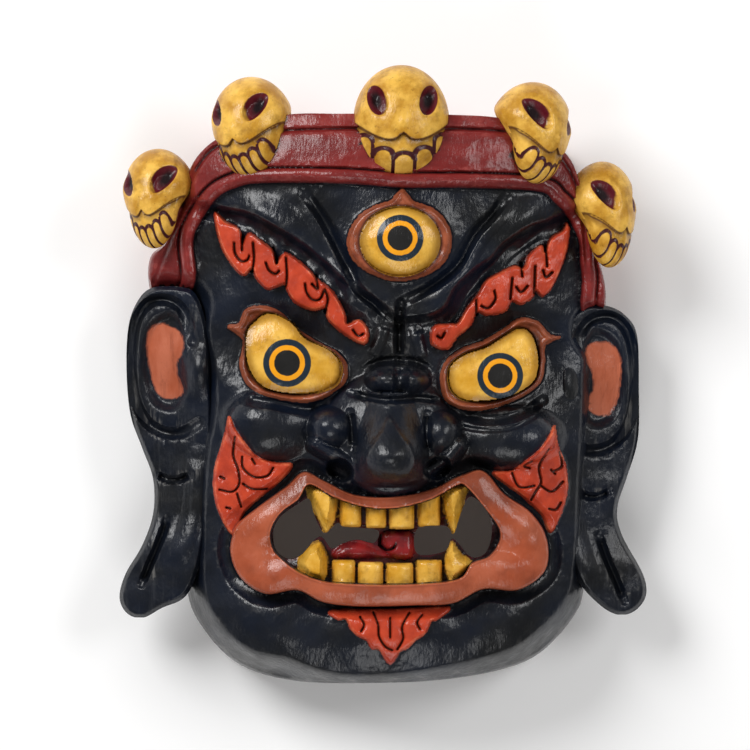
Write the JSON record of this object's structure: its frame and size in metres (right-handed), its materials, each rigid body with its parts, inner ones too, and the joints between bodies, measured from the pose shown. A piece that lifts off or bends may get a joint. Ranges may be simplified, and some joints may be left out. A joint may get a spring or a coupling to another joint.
{
  "type": "carved dance mask",
  "caption": "Carved and painted wooden dance mask of a wrathful guardian with a skull crown, hollow at the back and open at the mouth.",
  "frame": {"origin": "centre of the bounding box in plan, at the level of the back rim that the mask lies on", "axes": "+Z out of the face, +Y towards the crown, +X towards the viewer's right when facing the mask"},
  "size_m": [0.3551, 0.4159, 0.138],
  "materials": {
    "painted_wood": "painted and varnished"
  },
  "bodies": {
    "root": {"mask": "painted_wood"}
  },
  "joints": []
}
